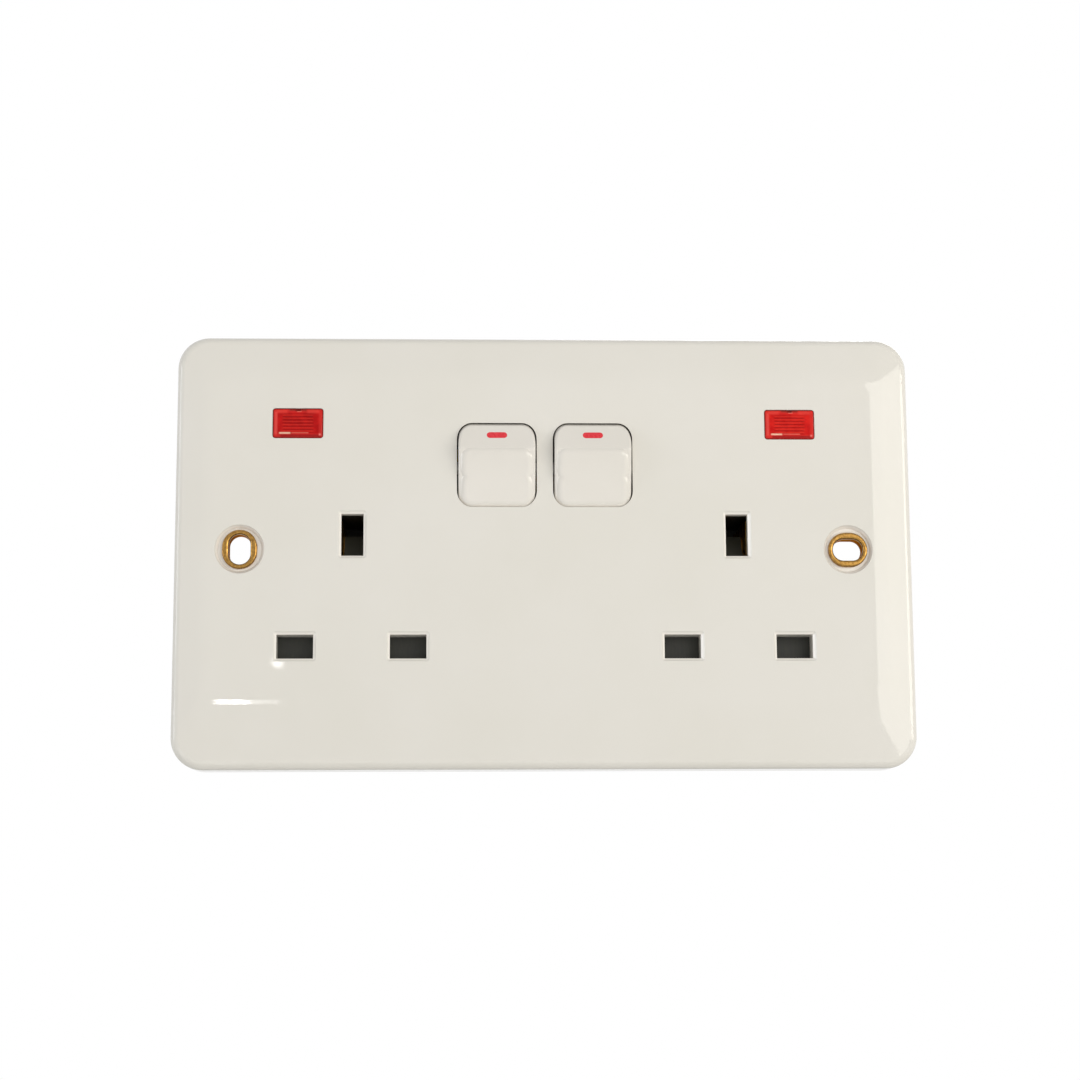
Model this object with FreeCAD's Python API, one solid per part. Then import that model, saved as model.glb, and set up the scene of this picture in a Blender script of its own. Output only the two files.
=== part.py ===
import FreeCAD, Part
import math
import os

V = FreeCAD.Vector

# Face plate
plate_w = 146.6
plate_h = 86.6
plate_depth = 8.5
plate_corner_r = 6.3
plate_wall = 2.3
front_wall = 2.6
edge_round = 1.8
side_border = 6.3
top_border = 8.5
bottom_border = 13.5
slope_fall = 1.1
crease_soft = 0.24
crease_bands = 8
centre_corner_r = 2.0

# Outlets and pins
outlet_shift = 1.5
earth_z = 2.95
line_z = -19.3
pin_pitch = 22.2
line_slot_w = 7.2
line_slot_h = 4.75
earth_slot_w = 4.4
earth_slot_h = 8.4
slot_chamfer = 0.6
collar_wall = 1.2
collar_end = -3.6
line_pin_reach = 17.7
earth_pin_reach = 22.7

# Fixing points
fixing_inset = 13.0
recess_r = 4.3
recess_flare = 0.6
recess_depth = 1.1
web_thickness = 1.6
pillar_r = 5.9
eyelet_hole_r = 2.15
eyelet_hole_stretch = 1.7
eyelet_rim_r = 3.45
eyelet_rim_stretch = 0.9
eyelet_rim_h = 0.95
eyelet_mouth_r = 0.45
eyelet_roll_r = 0.38
eyelet_wall = 0.5
eyelet_tail = 0.9
eyelet_clearance = 0.05

# Neon windows
lens_from_outlet = 10.95
lens_z = 25.35
lens_w = 10.1
lens_h = 6.1
lens_corner_r = 0.6
lens_clearance = 0.05
lens_flange = 0.4
lens_flange_t = 0.8
lens_edge_r = 0.35
lens_proud = 0.15
prism_room_w = 6.6
prism_room_h = 3.9
prism_count = 6
prism_depth = 0.9

# Rocker and its well
rocker_x = 9.55
pivot_y = -5.0
pivot_z = 17.0
well_half_w = 7.95
well_r = 9.2
well_corner_r = 3.0
well_wall = 1.55
well_end = -1.2
rocker_gap = 0.3
rocker_skin = 1.5
rocker_radius = well_r - rocker_gap
ridge_out = 6.2
ridge_up = 3.0
toe_out = 3.3
heel_out = 4.8
heel_up = 7.8
pad_rise = 0.5
pad_edge_r = 1.7
pad_foot_r = 2.7
pad_head_r = 2.4
pad_head_over = 0.35
rocker_swing = 13.0
rocker_edge_r = 0.5
rocker_rear = 2.2
trunnion_r = 1.25
bearing_clearance = 0.05
trunnion_len = 1.2

# Flag on the rocker
flag_len = 4.05
flag_h = 1.3
flag_up = 5.75
flag_depth = 0.4

# Plunger in the rocker
stem_r = 2.5
stem_end = 8.5
stem_bore_r = 1.65
stem_bore_floor = 2.5
plunger_clearance = 0.05
plunger_start = 5.6
plunger_tip = 12.3

# Switch metal
blade_front_y = 7.6
metal = 0.8
blade_half = 6.5
blade_w = 6.0
tip_z = 5.8
tip_r = 1.4
tip_h = 0.5
tip_air = 0.06
pin_end_air = 0.8
layer_air = 2.0
strip_w = 4.0
strip_low = 21.2
strip_high = 24.0
live_run_inset = 2.25
live_turn_shift = 1.35
live_turn_z = 12.8
neutral_bar_top = -9.0
neutral_bar_h = 3.0
earth_bar_low = 1.0
earth_bar_h = 4.0

# Pin receptacles
leaf_gap = 4.3
leaf_t = 0.7
leaf_front = 1.0
line_leaf_w = 6.4
earth_leaf_h = 7.5
earth_base_h = 6.4
earth_leaf_front = -3.0
earth_leaf_flare = 0.25
leaf_flare = 0.7
leaf_mouth = 1.6

# Shutter
shutter_front = -3.3
shutter_rear = -0.8
shutter_half_w = 15.2
cover_low = -22.6
cover_high = -16.35
window_high = -11.2
shutter_top = -9.3
ramp_gap = 0.3
stem_half_w = 3.2
ramp_top = 4.2
ramp_rear = 1.5
ramp_foot = -1.3
guide_gap = 0.25
shutter_corner = 1.6

# Springs
shutter_coil_r = 1.05
shutter_wire_r = 0.18
shutter_coils = 7
plunger_wire_r = 0.14
plunger_coils = 4

# Rear housing
housing_reach = 18.35
body_low = -34.0
body_high = 31.0
floor_wall = 2.0
body_wall = 1.8
body_corner_r = 2.0
cell_front = -0.5
cell_wall = 1.2
notch_air = 0.5
notch_z = 7.2
rear_edge_r = 1.0
room_wall = 1.6
room_down = 9.0
room_up = 9.2
shelf_below_lens = 8.75
shelf_side = 5.9
fit_air = 0.15

# Terminals
terminal_pitch = 11.0
block_w = 8.4
block_low = -28.0
block_high = -20.0
block_rear = 19.4
tower_rear = 21.2
wire_bore_r = 2.3
wire_bore_y = 14.4
clamp_r = 1.9
clamp_head_r = 2.7
wire_entry_r = 3.2

# Housing screws
screw_x_top = 27.0
screw_z_top = 27.5
screw_x_low = 21.5
screw_z_low = -30.5
column_r = 3.3
screw_r = 1.5
screw_head_r = 2.4
screw_head_h = 1.8
screw_seat_y = 6.0
screw_tip_y = -5.2

crease_x = plate_w / 2 - side_border
crease_top = plate_h / 2 - top_border
crease_bottom = plate_h / 2 - bottom_border
fixing_x = plate_w / 2 - fixing_inset
outlet_x = plate_w / 4 + outlet_shift
lens_x = outlet_x + lens_from_outlet
body_half_w = outlet_x + housing_reach
notch_x = fixing_x - pillar_r - notch_air
live_run_left = pin_pitch / 2 - outlet_x + live_run_inset
live_turn_x = outlet_x + live_turn_shift
face_y = -plate_depth
inner_y = face_y + front_wall
live_y = face_y + line_pin_reach + pin_end_air
neutral_y = live_y + metal + layer_air
earth_y = face_y + earth_pin_reach + pin_end_air + 0.2
floor_y = earth_y + metal
body_rear = floor_y + floor_wall
blade_rear_y = blade_front_y + metal
swing_half = rocker_swing / 2.0
shutter_spring_seat = body_low + body_wall


def box(x0, x1, y0, y1, z0, z1):
    return Part.makeBox(x1 - x0, y1 - y0, z1 - z0, V(x0, y0, z0))


def rod(r, p, q):
    axis = q - p
    return Part.makeCylinder(r, axis.Length, p, axis)


def fuse(shapes):
    body = shapes[0].fuse(shapes[1:])
    return body.removeSplitter()


def prism_x(points, x0, x1):
    pts = [V(x0, y, z) for y, z in points]
    wire = Part.makePolygon(pts + [pts[0]])
    return Part.Face(wire).extrude(V(x1 - x0, 0, 0))


def rounded_wire(cx, cz, w, h, r, y):
    a, b = w / 2.0, h / 2.0
    k = r * (1.0 - math.sqrt(0.5))
    corners = [(1, 1), (-1, 1), (-1, -1), (1, -1)]
    edges = []
    last = None
    first = None
    for sx, sz in corners:
        start = V(cx + sx * a, y, cz + sz * (b - r))
        middle = V(cx + sx * (a - k), y, cz + sz * (b - k))
        end = V(cx + sx * (a - r), y, cz + sz * b)
        if sx * sz < 0:
            start, end = end, start
        if last is not None:
            edges.append(Part.makeLine(last, start))
        else:
            first = start
        edges.append(Part.Arc(start, middle, end).toShape())
        last = end
    edges.append(Part.makeLine(last, first))
    return Part.Wire(edges)


def rounded_block(cx, cz, w, h, r, y0, y1):
    face = Part.Face(rounded_wire(cx, cz, w, h, r, y0))
    return face.extrude(V(0, y1 - y0, 0))


def obround(cx, r, stretch, upright, y0, y1):
    half = stretch / 2.0
    body = box(cx - (r if upright else half), cx + (r if upright else half), y0, y1,
               -(half if upright else r), half if upright else r)
    ends = []
    for s in (-1, 1):
        ex = cx + (0 if upright else s * half)
        ez = s * half if upright else 0
        ends.append(rod(r, V(ex, y0, ez), V(ex, y1, ez)))
    return fuse([body] + ends)


def chamfered_cutter(cx, cz, w, h, y_end):
    # slot with a bevelled mouth at the face
    tool = box(cx - w / 2, cx + w / 2, face_y - 1, y_end, cz - h / 2, cz + h / 2)
    c = slot_chamfer
    outer = rounded_wire(cx, cz, w + 2 * c + 2, h + 2 * c + 2, 0.9, face_y - 1)
    inner = rounded_wire(cx, cz, w - 0.4, h - 0.4, 0.15, face_y + c + 0.2)
    mouth = Part.makeLoft([outer, inner], True, True)
    return tool.fuse(mouth)


def barrel(half_w, radius, corner, cx):
    # rounded profile turned about the pivot axis
    k = corner * (1.0 - math.sqrt(0.5))
    low = [V(-half_w, 0, 0), V(-half_w, 0, radius - corner)]
    up = [V(half_w, 0, radius - corner), V(half_w, 0, 0)]
    top = [V(-half_w + corner, 0, radius), V(half_w - corner, 0, radius)]
    arcs = [Part.Arc(low[1], V(-half_w + k, 0, radius - k), top[0]).toShape(),
            Part.Arc(top[1], V(half_w - k, 0, radius - k), up[0]).toShape()]
    wire = Part.Wire([Part.makeLine(low[0], low[1]), arcs[0], Part.makeLine(top[0], top[1]),
                      arcs[1], Part.makeLine(up[0], up[1]), Part.makeLine(up[1], low[0])])
    solid = Part.Face(wire).revolve(V(0, 0, 0), V(1, 0, 0), 360)
    solid.translate(V(cx, pivot_y, pivot_z))
    return solid


def turned(y, z, degrees):
    a = math.radians(degrees)
    return (y * math.cos(a) - z * math.sin(a), y * math.sin(a) + z * math.cos(a))


def at_pivot(points):
    return [(pivot_y + y, pivot_z + z) for y, z in points]


def spring(cx, start, axis, coil_r, wire_r, length, coils):
    # wire of eight flats swept along a helix
    pitch = (length - 2 * wire_r) / coils
    path = Part.makeHelix(pitch, pitch * coils, coil_r)
    angles = [math.radians(45 * i + 22.5) for i in range(8)]
    pts = [V(coil_r + wire_r * math.cos(a), 0, wire_r * math.sin(a)) for a in angles]
    ring = Part.makePolygon(pts + [pts[0]])
    coil = Part.Wire(path).makePipeShell([ring], True, False)
    coil.translate(V(0, 0, wire_r))
    turn = FreeCAD.Rotation(V(0, 0, 1), axis)
    coil.Placement = FreeCAD.Placement(start, turn).multiply(coil.Placement)
    return coil


def border_wire(t):
    # outline part-way from the flat centre (0) to the rim (1), lying on the sloping border
    soft = crease_soft
    low = crease_bottom + t * (plate_h / 2 - crease_bottom)
    high = crease_top + t * (plate_h / 2 - crease_top)
    half = crease_x + t * (plate_w / 2 - crease_x)
    r = centre_corner_r + t * (plate_corner_r - centre_corner_r)
    drop = slope_fall * (t + soft) ** 2 / (4 * soft) if t < soft else slope_fall * t
    return rounded_wire(0, (high - low) / 2, 2 * half, high + low, r, face_y + drop)


def plate_skin():
    rim_y = face_y + slope_fall
    steps = [1.0] + [crease_soft * (1 - 2 * i / crease_bands) for i in range(crease_bands + 1)]
    cap = Part.makeLoft([border_wire(t) for t in steps], True, True)
    base = rounded_block(0, 0, plate_w, plate_h, plate_corner_r, 0, rim_y)
    body = base.fuse(cap).removeSplitter()
    rim = [e for e in body.Edges if abs(e.BoundBox.YMin - rim_y) + abs(e.BoundBox.YMax - rim_y) < 0.001]
    return body.makeFillet(edge_round, rim)


def line_slots():
    half = pin_pitch / 2
    return [(s * outlet_x + t * half, line_z) for s in (-1, 1) for t in (-1, 1)]


def plate_inside():
    # collars, pillars, well boxes, guides and bosses behind the face
    out = []
    top = inner_y - 0.2
    for x, z in line_slots():
        a, b = line_slot_w / 2 + collar_wall, line_slot_h / 2 + collar_wall
        out.append(box(x - a, x + a, top, collar_end, z - b, z + b))
    for s in (-1, 1):
        x = s * outlet_x
        out.append(rod(pillar_r, V(s * fixing_x, top, 0), V(s * fixing_x, 0, 0)))
        for t in (-1, 1):
            g = x + t * (shutter_half_w + guide_gap + 0.5)
            out.append(box(g - 0.5, g + 0.5, top, shutter_rear, cover_low - 4.2, shutter_top))
        c = s * rocker_x
        a, b = well_half_w + well_wall, well_r + 1.6
        out.append(box(c - a, c + a, top, well_end, pivot_z - b, pivot_z + b))
    for x, z in screw_places():
        out.append(rod(column_r - 0.3, V(x, top, z), V(x, -3.2, z)))
    half_w, half_h = plate_w / 2 - plate_wall, plate_h / 2 - plate_wall
    for x in (-45, -15, 15, 45):
        for s, near in ((-1, -body_low + 1.5), (1, body_high + 1.5)):
            low, high = sorted((s * near, s * (half_h + 0.5)))
            out.append(box(x - 0.6, x + 0.6, top, -2.0, low, high))
    for s in (-1, 1):
        for z in (-18, 18):
            low, high = sorted((s * (body_half_w + 1.5), s * (half_w + 0.5)))
            out.append(box(low, high, top, -2.0, z - 0.6, z + 0.6))
    return out


def screw_places():
    return [(-screw_x_top, screw_z_top), (screw_x_top, screw_z_top),
            (-screw_x_low, screw_z_low), (screw_x_low, screw_z_low)]


def well_cutters():
    out = []
    for s in (-1, 1):
        c = s * rocker_x
        out.append(barrel(well_half_w, well_r, well_corner_r, c))
        out.append(box(c - well_half_w, c + well_half_w, pivot_y, 1, pivot_z - well_r, pivot_z + well_r))
        r = trunnion_r + bearing_clearance
        a = well_half_w + well_wall - 0.1
        out.append(rod(r, V(c - a, pivot_y, pivot_z), V(c + a, pivot_y, pivot_z)))
        out.append(box(c - a, c + a, pivot_y, 1, pivot_z - r, pivot_z + r))
    return out


def eyelet_cutters():
    out = []
    for s, upright in ((-1, True), (1, False)):
        x = s * fixing_x
        seat = face_y + recess_depth
        back = seat + web_thickness
        mouth = recess_r + recess_flare
        out.append(rod(mouth, V(x, face_y - 1, 0), V(x, face_y, 0)))
        out.append(Part.makeCone(mouth, recess_r, recess_depth, V(x, face_y, 0), V(0, 1, 0)))
        r = eyelet_hole_r + eyelet_wall + eyelet_clearance
        out.append(obround(x, r, eyelet_hole_stretch, upright, seat - 1, back + 1))
        out.append(rod(recess_r, V(x, back, 0), V(x, 1, 0)))
    return out


def face_plate():
    cavity = rounded_block(0, 0, plate_w - 2 * plate_wall, plate_h - 2 * plate_wall,
                           plate_corner_r - plate_wall, 1, inner_y)
    body = plate_skin().cut(cavity)
    body = fuse([body] + plate_inside())
    cutters = well_cutters() + eyelet_cutters()
    for x, z in line_slots():
        cutters.append(chamfered_cutter(x, z, line_slot_w, line_slot_h, 0))
    for s in (-1, 1):
        cutters.append(chamfered_cutter(s * outlet_x, earth_z, earth_slot_w, earth_slot_h, 0))
        cutters.append(rounded_block(s * lens_x, lens_z, lens_w, lens_h, lens_corner_r, face_y - 1, 0))
    for x, z in screw_places():
        cutters.append(rod(screw_r + 0.05, V(x, screw_tip_y - 0.3, z), V(x, 0, z)))
    return body.cut(cutters).removeSplitter()


def eyelet(s, upright):
    # brass liner with a rolled rim that keeps the fixing screw's head off the moulding
    x = s * fixing_x
    seat = face_y + recess_depth
    front = seat - eyelet_rim_h
    rear = seat + web_thickness + eyelet_tail
    rim = obround(x, eyelet_rim_r, eyelet_rim_stretch, upright, front, seat)
    tube = obround(x, eyelet_hole_r + eyelet_wall, eyelet_hole_stretch, upright, front, rear)
    body = fuse([rim, tube])
    body = body.makeFillet(eyelet_roll_r, [e for e in body.Edges if e.BoundBox.YMax < front + 0.01])
    bore = obround(x, eyelet_hole_r, eyelet_hole_stretch, upright, front - 1, rear + 1)
    body = body.cut(bore).removeSplitter()
    short = eyelet_hole_r + 0.1
    long = short + eyelet_hole_stretch / 2
    mouth = []
    for e in body.Edges:
        b = e.BoundBox
        reach_x = max(abs(b.XMin - x), abs(b.XMax - x))
        reach_z = max(abs(b.ZMin), abs(b.ZMax))
        across, along = (reach_x, reach_z) if upright else (reach_z, reach_x)
        if b.YMax < front + 0.01 and across < short and along < long:
            mouth.append(e)
    return body.makeFillet(eyelet_mouth_r, mouth)


def neon_lens(s):
    x = s * lens_x
    w, h = lens_w - 2 * lens_clearance, lens_h - 2 * lens_clearance
    front = face_y - lens_proud
    block = rounded_block(x, lens_z, w, h, lens_corner_r - lens_clearance, front, inner_y + lens_flange_t)
    block = block.makeFillet(lens_edge_r, [e for e in block.Edges if e.BoundBox.YMax < front + 0.01])
    flange = rounded_block(x, lens_z, lens_w + 2 * lens_flange, lens_h + 2 * lens_flange, lens_corner_r,
                           inner_y, inner_y + lens_flange_t)
    body = fuse([block, flange])
    back = inner_y + lens_flange_t
    room = prism_room_h
    pitch = room / prism_count
    a = prism_room_w / 2
    cuts = []
    for i in range(prism_count):
        z = lens_z - room / 2 + i * pitch
        cuts.append(prism_x([(back + 0.1, z), (back - prism_depth, z + pitch / 2), (back + 0.1, z + pitch)],
                            x - a, x + a))
    cuts.append(box(x - 0.5, x + 0.5, front - 0.1, front + 0.5, lens_z + h / 2 - 0.6, lens_z + h))
    return body.cut(cuts).removeSplitter()


def neon_bulb(s):
    x = s * lens_x
    y = inner_y + lens_flange_t + 2.9
    glass = rod(2.0, V(x - 3.6, y, lens_z), V(x + 3.2, y, lens_z))
    dome = Part.makeSphere(2.0, V(x + 3.2, y, lens_z))
    press = box(x - 5.2, x - 3.5, y - 0.6, y + 0.6, lens_z - 1.5, lens_z + 1.5)
    return fuse([glass, dome, press])


def neon_resistor(s):
    x = s * lens_x
    y, z = -1.35, 18.6
    body = rod(0.95, V(x - 2.4, y, z), V(x + 2.4, y, z))
    caps = [rod(1.15, V(x + t * 2.0, y, z), V(x + t * 3.2, y, z)) for t in (-1, 1)]
    leads = [rod(0.3, V(x + t * 3.1, y, z), V(x + t * 4.8, y, z)) for t in (-1, 1)]
    return fuse([body] + caps + leads)


def pad_lean():
    # tilt of the rocker's lower facet, from its ridge and its toe
    toe_down = math.sqrt(rocker_radius ** 2 - toe_out ** 2)
    return math.atan2(ridge_out - toe_out, ridge_up + toe_down)


def rocker_pad(s):
    # raised cushion on the lower facet, made level and then tilted about the pivot
    c = s * rocker_x
    w = 2 * (well_half_w - rocker_gap)
    a = pad_lean()
    out = ridge_out * math.cos(a) - ridge_up * math.sin(a)
    head = ridge_out * math.sin(a) + ridge_up * math.cos(a) + pad_head_over
    foot = -pad_edge_r - math.sqrt((rocker_radius - pad_edge_r) ** 2 - (out - pad_edge_r) ** 2)
    deep = 2 * pad_edge_r
    middle = foot + 2 * pad_foot_r
    parts = []
    for low, high, r in ((foot, middle + pad_foot_r, pad_foot_r), (middle, head, pad_head_r)):
        parts.append(rounded_block(c, (low + high) / 2, w, high - low, r, -out, deep - out))
    block = fuse(parts)
    block = block.makeFillet(pad_edge_r, [e for e in block.Edges if e.BoundBox.YMax < 0.01 - out])
    block.rotate(V(c, 0, 0), V(1, 0, 0), math.degrees(a))
    block.translate(V(0, pivot_y, pivot_z))
    return block


def rocker_outline(inset, rear):
    # side profile about the pivot: long lower facet, ridge, short upper facet
    low_slope = math.tan(pad_lean())
    up_slope = (ridge_out - heel_out) / (heel_up - ridge_up)
    reach = 12.0
    out = ridge_out - inset
    front = [(-(out - (reach + ridge_up) * low_slope), -reach), (-out, ridge_up),
             (-(out - (reach - ridge_up) * up_slope), reach)]
    back = [turned(rear, reach, swing_half), turned(rear, -reach, swing_half)]
    return at_pivot(front + back)


def rocker(s):
    c = s * rocker_x
    half, radius = well_half_w - rocker_gap, rocker_radius
    corner = well_corner_r - rocker_gap
    solid = barrel(half, radius, corner, c)
    solid = solid.common(prism_x(rocker_outline(pad_rise, rocker_rear), c - 20, c + 20)).removeSplitter()
    edges = []
    for e in solid.Edges:
        y, z = turned(e.CenterOfMass.y - pivot_y, e.CenterOfMass.z - pivot_z, -swing_half)
        p, q = e.valueAt(e.FirstParameter), e.valueAt(e.LastParameter)
        back = min(turned(v.y - pivot_y, v.z - pivot_z, -swing_half)[0] for v in (p, q))
        if back < rocker_rear - 0.2 and front_edge(e):
            edges.append(e)
    solid = fuse([solid.makeFillet(rocker_edge_r, edges), rocker_pad(s)])
    hollow = barrel(half - rocker_skin, radius - rocker_skin, corner - rocker_skin + 0.3, c)
    hollow = hollow.common(prism_x(rocker_outline(rocker_skin + pad_rise, rocker_rear + 1), c - 20, c + 20))
    solid = solid.cut(hollow)
    a = math.radians(swing_half)
    axis = V(0, math.cos(a), math.sin(a))
    centre = V(c, pivot_y, pivot_z)
    parts = [solid, rod(stem_r, centre - axis * 4.2, centre + axis * stem_end)]
    for t in (-1, 1):
        parts.append(rod(trunnion_r, V(c + t * (half - 1), pivot_y, pivot_z),
                         V(c + t * (well_half_w + trunnion_len), pivot_y, pivot_z)))
        rib = prism_x(rocker_outline(pad_rise + 0.8, 0.5), c + t * 4 - 0.5, c + t * 4 + 0.5)
        parts.append(rib.common(barrel(half, radius - 0.8, corner, c)))
    solid = fuse(parts)
    solid = solid.cut([rod(stem_bore_r, centre + axis * stem_bore_floor, centre + axis * (stem_end + 1)),
                       flag_shape(s, 0.0, 1.0)])
    return solid.removeSplitter()


def front_edge(e):
    # an edge on one of the two front facets
    n = 5
    for i in range(n):
        v = e.valueAt(e.FirstParameter + (e.LastParameter - e.FirstParameter) * i / (n - 1))
        y, z = v.y - pivot_y, v.z - pivot_z
        pts = [(a - pivot_y, b - pivot_z) for a, b in rocker_outline(pad_rise, rocker_rear)]
        best = min(off_line(y, z, pts[0], pts[1]), off_line(y, z, pts[1], pts[2]))
        if best > 0.01:
            return False
    return True


def off_line(y, z, p, q):
    dy, dz = q[0] - p[0], q[1] - p[1]
    return abs((y - p[0]) * dz - (z - p[1]) * dy) / math.hypot(dy, dz)


def flag_shape(s, lift, over):
    # stadium laid into the upper facet
    c = s * rocker_x
    pts = rocker_outline(pad_rise, rocker_rear)
    dy, dz = pts[2][0] - pts[1][0], pts[2][1] - pts[1][1]
    angle = math.degrees(math.atan2(-dy, dz))
    out = pts[1][0] + dy * (flag_up - ridge_up) / dz
    r = flag_h / 2
    half = flag_len / 2 - r
    shape = fuse([box(-half, half, -over, flag_depth, -r, r),
                  rod(r, V(-half, -over, 0), V(-half, flag_depth, 0)),
                  rod(r, V(half, -over, 0), V(half, flag_depth, 0))])
    shape.rotate(V(0, 0, 0), V(1, 0, 0), angle)
    shape.translate(V(c, out - lift, pivot_z + flag_up))
    return shape


def plunger(s):
    c = s * rocker_x
    r = stem_bore_r - plunger_clearance
    a = math.radians(swing_half)
    axis = V(0, math.cos(a), math.sin(a))
    centre = V(c, pivot_y, pivot_z)
    body = rod(r, centre + axis * plunger_start, centre + axis * (plunger_tip - r))
    return fuse([body, Part.makeSphere(r, centre + axis * (plunger_tip - r))])


def plunger_spring(s):
    a = math.radians(swing_half)
    axis = V(0, math.cos(a), math.sin(a))
    start = V(s * rocker_x, pivot_y, pivot_z) + axis * (stem_bore_floor + 0.02)
    length = plunger_start - stem_bore_floor - 0.04
    return spring(0, start, axis, 1.2, plunger_wire_r, length, plunger_coils)


def rocking_contact(s):
    c = s * rocker_x
    blade = box(c - blade_w / 2, c + blade_w / 2, blade_front_y, blade_rear_y,
                pivot_z - blade_half, pivot_z + blade_half)
    tip = rod(tip_r, V(c, blade_rear_y - 0.1, pivot_z + tip_z), V(c, blade_rear_y + tip_h, pivot_z + tip_z))
    lip = box(c - blade_w / 2, c + blade_w / 2, blade_front_y - 1.0, blade_front_y + 0.1,
              pivot_z + blade_half - metal, pivot_z + blade_half)
    body = fuse([blade, tip, lip])
    body.rotate(V(c, blade_rear_y, pivot_z), V(1, 0, 0), -swing_half)
    return body


def fixed_tip(s):
    # the closed pair just meets, so its height follows from the tilted blade
    c = s * rocker_x
    y, z = turned(tip_h, tip_z, -swing_half)
    drop = tip_r * math.sin(math.radians(swing_half))
    front = blade_rear_y + y + drop + tip_air
    return rod(tip_r + 0.2, V(c, front, pivot_z + z), V(c, live_y + 0.1, pivot_z + z))


def leaf_pair(x, z, flare, width, front, base_y, along_x):
    # two sprung leaves with flared mouths
    half = leaf_gap / 2
    inner = front + leaf_mouth
    prof = [(half, base_y + 0.1), (half, inner), (half + flare, front),
            (half + flare + leaf_t, front), (half + leaf_t, inner), (half + leaf_t, base_y + 0.1)]
    out = []
    for t in (-1, 1):
        if along_x:
            pts = [V(x + t * d, y, z - width / 2) for d, y in prof]
            out.append(Part.Face(Part.makePolygon(pts + [pts[0]])).extrude(V(0, 0, width)))
        else:
            pts = [V(x - width / 2, y, z + t * d) for d, y in prof]
            out.append(Part.Face(Part.makePolygon(pts + [pts[0]])).extrude(V(width, 0, 0)))
    return out


def strip_path(s, grow):
    # footprint of the strip from the switch down to the live receptacle, as x and z spans
    a = strip_w / 2 + grow
    x = s * outlet_x + pin_pitch / 2
    start = s * (rocker_x - blade_w / 2 - grow)
    if s < 0:
        run = live_run_left
        return [(run - a, start, strip_low - grow, strip_high + grow),
                (run - a, run + a, line_z, strip_high + grow)]
    turn = live_turn_x
    level = live_turn_z
    return [(start, turn + a, strip_low - grow, strip_high + grow),
            (turn - a, turn + a, level - a, strip_high + grow),
            (turn - a, x + a, level - a, level + a),
            (x - a, x + a, line_z, level + a)]


def live_contact(s):
    x = s * outlet_x + pin_pitch / 2
    a = line_leaf_w / 2
    parts = [box(x - a, x + a, live_y, live_y + metal, line_z - a, line_z + a), fixed_tip(s)]
    for x0, x1, z0, z1 in strip_path(s, 0):
        parts.append(box(x0, x1, live_y, live_y + metal, z0, z1))
    return fuse(parts + leaf_pair(x, line_z, leaf_flare, line_leaf_w, leaf_front, live_y, False))


def neutral_contact(s):
    x = s * outlet_x - pin_pitch / 2
    a = line_leaf_w / 2
    base = box(x - a, x + a, neutral_y - metal, neutral_y, line_z - a, neutral_bar_top)
    return fuse([base] + leaf_pair(x, line_z, leaf_flare, line_leaf_w, leaf_front, neutral_y - metal, False))


def earth_base_half():
    return leaf_gap / 2 + leaf_t + leaf_flare * 2


def earth_contact(s):
    x = s * outlet_x
    a, b = earth_base_half(), earth_base_h / 2
    base = box(x - a, x + a, earth_y - metal, earth_y, earth_z - b, earth_z + b)
    leaves = leaf_pair(x, earth_z, earth_leaf_flare, earth_leaf_h, earth_leaf_front, earth_y - metal, True)
    return fuse([base] + leaves)


def tab(x, top, level):
    # leg that steps from a bar's level to the front of its terminal block
    a = strip_w / 2
    leg = box(x - a, x + a, live_y, live_y + metal, block_low + 1, top)
    step = box(x - a, x + a, live_y, level + metal, top - metal, top)
    return [leg, step]


def live_bar():
    a, b = rocker_x + blade_w / 2 + 1.2, strip_w / 2
    bar = box(-a, a, live_y, live_y + metal, pivot_z - b, pivot_z + b)
    leg = box(terminal_pitch - b, terminal_pitch + b, live_y, live_y + metal, block_low + 1, pivot_z)
    parts = [bar, leg]
    for s in (-1, 1):
        c = s * rocker_x
        edge = prism_x([(live_y + 0.1, pivot_z - 1.0), (blade_rear_y + 0.3, pivot_z),
                        (live_y + 0.1, pivot_z + 1.0)], c - blade_w / 2, c + blade_w / 2)
        parts.append(edge)
        for t in (-1, 1):
            x0, x1 = sorted((c + t * (blade_w / 2 + 0.3), c + t * (blade_w / 2 + 1.1)))
            parts.append(box(x0, x1, blade_front_y - 0.4, live_y + 0.1, pivot_z - 1.2, pivot_z + 1.2))
    return fuse(parts)


def neutral_bar():
    a = line_leaf_w / 2
    left, right = -outlet_x - pin_pitch / 2 - a, outlet_x - pin_pitch / 2 + a
    low = neutral_bar_top - neutral_bar_h
    bar = box(left, right, neutral_y, neutral_y + metal, low, neutral_bar_top)
    return fuse([bar] + tab(-terminal_pitch, neutral_bar_top, neutral_y))


def earth_bar():
    reach, top = outlet_x + earth_base_half(), earth_bar_low + earth_bar_h
    bar = box(-reach, reach, earth_y, earth_y + metal, earth_bar_low, top)
    return fuse([bar] + tab(0, top, earth_y))


def terminal_block(i):
    x = i * terminal_pitch
    front = live_y + metal
    body = box(x - block_w / 2, x + block_w / 2, front, block_rear, block_low, block_high)
    edges = [e for e in body.Edges if e.BoundBox.YLength > 5]
    body = body.makeFillet(0.6, edges)
    bore = rod(wire_bore_r, V(x, wire_bore_y, block_low - 1), V(x, wire_bore_y, block_high + 1))
    z = (block_low + block_high) / 2
    thread = rod(clamp_r + 0.05, V(x, wire_bore_y, z), V(x, block_rear + 1, z))
    return body.cut([bore, thread])


def slotted_screw(x, z, seat, tip, r, head_r, head_h):
    shank = rod(r, V(x, tip, z), V(x, seat + 0.1, z))
    body = fuse([shank, rod(head_r, V(x, seat, z), V(x, seat + head_h, z))])
    slot = box(x - head_r, x + head_r, seat + head_h - 0.8, seat + head_h + 1, z - 0.4, z + 0.4)
    return body.cut(slot)


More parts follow.
